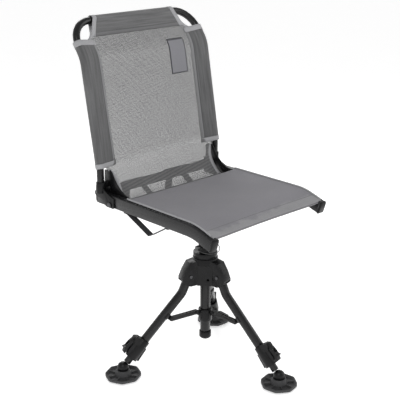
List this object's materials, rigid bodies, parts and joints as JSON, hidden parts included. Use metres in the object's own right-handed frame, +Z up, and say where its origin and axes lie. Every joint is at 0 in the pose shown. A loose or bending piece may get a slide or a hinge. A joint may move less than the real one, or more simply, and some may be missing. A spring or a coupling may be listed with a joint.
{
  "type": "swivel chair",
  "caption": "Folding swivel blind chair: fabric sling seat and mesh back on a central post, with a folding tripod base, telescopic legs and ball-jointed foot pads.",
  "frame": {"origin": "bottom centre of the chair's bounding box, on the floor plane of the foot pads", "axes": "+Z up; the sitter faces -Y and the sitter's right hand is towards -X; the swivel axis is parallel to Z, 22.0 mm towards +X and 5.2 mm towards -Y of the origin"},
  "size_m": [0.5268, 0.6035, 0.9718],
  "materials": {
    "frame_steel": "dark grey powder coat, fine texture",
    "rail_aluminium": "dark grey powder coat, satin",
    "casting": "near-black coated casting, semi-matt",
    "plastic": "black moulded plastic, fine grain",
    "foot_rubber": "dark grey moulded plastic, matt",
    "fastener": "dark zinc",
    "pin_steel": "dark zinc-plated wire and rod",
    "seat_fabric": "grey woven sling fabric",
    "mesh_fabric": "light grey open mesh",
    "sleeve_fabric": "mid grey woven fabric",
    "webbing": "black webbing"
  },
  "bodies": {
    "base": {"hub_casting": "casting", "post_tube": "frame_steel", "post_cap": "plastic", "swivel_bearing": "plastic", "leg_hinge_pin_1": "fastener", "leg_hinge_pin_2": "fastener", "leg_hinge_pin_3": "fastener"},
    "collar": {"slider_collar": "casting"},
    "leg_1": {"leg_upper_tube_1": "frame_steel", "brace_bracket_1": "casting", "clamp_body_1": "plastic"},
    "brace_1": {"brace_bar_1_near": "frame_steel", "brace_bar_1_far": "frame_steel"},
    "lever_1": {"clamp_lever_1": "plastic"},
    "lower_leg_1": {"leg_lower_tube_1": "frame_steel"},
    "ball_1": {"foot_ball_1": "plastic"},
    "pad_1": {"foot_pad_1": "foot_rubber"},
    "leg_2": {"leg_upper_tube_2": "frame_steel", "brace_bracket_2": "casting", "clamp_body_2": "plastic"},
    "brace_2": {"brace_bar_2_near": "frame_steel", "brace_bar_2_far": "frame_steel"},
    "lever_2": {"clamp_lever_2": "plastic"},
    "lower_leg_2": {"leg_lower_tube_2": "frame_steel"},
    "ball_2": {"foot_ball_2": "plastic"},
    "pad_2": {"foot_pad_2": "foot_rubber"},
    "leg_3": {"leg_upper_tube_3": "frame_steel", "brace_bracket_3": "casting", "clamp_body_3": "plastic"},
    "brace_3": {"brace_bar_3_near": "frame_steel", "brace_bar_3_far": "frame_steel"},
    "lever_3": {"clamp_lever_3": "plastic"},
    "lower_leg_3": {"leg_lower_tube_3": "frame_steel"},
    "ball_3": {"foot_ball_3": "plastic"},
    "pad_3": {"foot_pad_3": "foot_rubber"},
    "seat": {"swivel_head": "casting", "seat_column": "frame_steel", "crossbar_front": "frame_steel", "crossbar_rear": "frame_steel", "seat_sling": "seat_fabric", "carry_strap": "webbing", "seat_rail_left": "rail_aluminium", "seat_rail_right": "rail_aluminium", "rail_front_cap_left": "plastic", "rail_front_cap_right": "plastic", "rail_rear_cap_left": "plastic", "rail_rear_cap_right": "plastic", "back_pivot_bolt_left": "fastener", "back_pivot_bolt_right": "fastener"},
    "back": {"back_frame_tube": "frame_steel", "back_sleeve_top": "sleeve_fabric", "back_panel": "mesh_fabric", "lumbar_strap": "webbing", "hinge_yoke_left": "casting", "hinge_yoke_right": "casting", "back_sleeve_left": "sleeve_fabric", "back_sleeve_right": "sleeve_fabric"},
    "lock_pin": {"lock_pin": "pin_steel"},
    "pin_ring": {"lock_pin_ring": "pin_steel"}
  },
  "joints": [
    {"name": "seat_swivel", "type": "hinge", "parent": "base", "child": "seat", "pos_m": [0.02202, -0.0052, 0.327], "axis": [0, 0, 1], "continuous": true},
    {"name": "back_fold", "type": "hinge", "parent": "seat", "child": "back", "pos_m": [0.02202, 0.1384, 0.491], "axis": [1, 0, 0], "range_deg": [0, 86]},
    {"name": "leg_fold_1", "type": "hinge", "parent": "base", "child": "leg_1", "pos_m": [0.06038, 0.02687, 0.275], "axis": [-0.6414, 0.7672, 0], "range_deg": [0, 24.5]},
    {"name": "leg_fold_2", "type": "hinge", "parent": "base", "child": "leg_2", "pos_m": [-0.02493, 0.01198, 0.275], "axis": [-0.3437, -0.9391, 0], "range_deg": [0, 24.5]},
    {"name": "leg_fold_3", "type": "hinge", "parent": "base", "child": "leg_3", "pos_m": [0.03062, -0.05446, 0.275], "axis": [0.9851, 0.1719, 0], "range_deg": [0, 24.5]},
    {"name": "collar_slide", "type": "slide", "parent": "base", "child": "collar", "axis": [0, 0, 1], "range_m": [0, 0.0552]},
    {"name": "brace_swing_1", "type": "hinge", "parent": "collar", "child": "brace_1", "pos_m": [0.04427, 0.0134, 0.1579], "axis": [-0.6414, 0.7672, 0], "range_deg": [0, 70.5]},
    {"name": "leg_extend_1", "type": "slide", "parent": "leg_1", "child": "lower_leg_1", "axis": [0.5212, 0.4358, -0.7337], "range_m": [0, 0.1]},
    {"name": "clamp_lever_1", "type": "hinge", "parent": "leg_1", "child": "lever_1", "pos_m": [0.18278, 0.12922, 0.1107], "axis": [0.6414, -0.7672, 0], "range_deg": [0, 95]},
    {"name": "foot_tilt_1", "type": "hinge", "parent": "lower_leg_1", "child": "ball_1", "pos_m": [0.21436, 0.15562, 0.03093], "axis": [-0.6414, 0.7672, 0], "range_deg": [-20, 20]},
    {"name": "foot_roll_1", "type": "hinge", "parent": "ball_1", "child": "pad_1", "pos_m": [0.21436, 0.15562, 0.03093], "axis": [0.7672, 0.6414, 0], "range_deg": [-20, 20]},
    {"name": "brace_swing_2", "type": "hinge", "parent": "collar", "child": "brace_2", "pos_m": [-0.00521, 0.00477, 0.1579], "axis": [-0.3437, -0.9391, 0], "range_deg": [0, 70.5]},
    {"name": "leg_extend_2", "type": "slide", "parent": "leg_2", "child": "lower_leg_2", "axis": [-0.6381, 0.2335, -0.7337], "range_m": [0, 0.1]},
    {"name": "clamp_lever_2", "type": "hinge", "parent": "leg_2", "child": "lever_2", "pos_m": [-0.17477, 0.06681, 0.1107], "axis": [0.3437, 0.9391, 0], "range_deg": [0, 95]},
    {"name": "foot_tilt_2", "type": "hinge", "parent": "lower_leg_2", "child": "ball_2", "pos_m": [-0.21342, 0.08096, 0.03093], "axis": [-0.3437, -0.9391, 0], "range_deg": [-20, 20]},
    {"name": "foot_roll_2", "type": "hinge", "parent": "ball_2", "child": "pad_2", "pos_m": [-0.21342, 0.08096, 0.03093], "axis": [-0.9391, 0.3437, 0], "range_deg": [-20, 20]},
    {"name": "brace_swing_3", "type": "hinge", "parent": "collar", "child": "brace_3", "pos_m": [0.02701, -0.03377, 0.1579], "axis": [0.9851, 0.1719, 0], "range_deg": [0, 70.5]},
    {"name": "leg_extend_3", "type": "slide", "parent": "leg_3", "child": "lower_leg_3", "axis": [0.1168, -0.6693, -0.7337], "range_m": [0, 0.1]},
    {"name": "clamp_lever_3", "type": "hinge", "parent": "leg_3", "child": "lever_3", "pos_m": [0.05805, -0.21163, 0.1107], "axis": [-0.9851, -0.1719, 0], "range_deg": [0, 95]},
    {"name": "foot_tilt_3", "type": "hinge", "parent": "lower_leg_3", "child": "ball_3", "pos_m": [0.06512, -0.25218, 0.03093], "axis": [0.9851, 0.1719, 0], "range_deg": [-20, 20]},
    {"name": "foot_roll_3", "type": "hinge", "parent": "ball_3", "child": "pad_3", "pos_m": [0.06512, -0.25218, 0.03093], "axis": [0.1719, -0.9851, 0], "range_deg": [-20, 20]},
    {"name": "lock_pin_pull", "type": "slide", "parent": "seat", "child": "lock_pin", "axis": [-1, 0, 0], "range_m": [0, 0.012]},
    {"name": "pin_ring_swing", "type": "hinge", "parent": "lock_pin", "child": "pin_ring", "pos_m": [-0.01598, -0.0052, 0.357], "axis": [0, 0, -1], "range_deg": [0, 100]}
  ],
  "couplings": [
    {"joint": "leg_fold_2", "follows": "leg_fold_1", "ratio": 1},
    {"joint": "leg_fold_3", "follows": "leg_fold_1", "ratio": 1},
    {"joint": "collar_slide", "follows": "leg_fold_1", "m_per_rad": 0.12848},
    {"joint": "brace_swing_1", "follows": "leg_fold_1", "ratio": 2.8661},
    {"joint": "brace_swing_2", "follows": "leg_fold_1", "ratio": 2.8661},
    {"joint": "brace_swing_3", "follows": "leg_fold_1", "ratio": 2.8661}
  ]
}
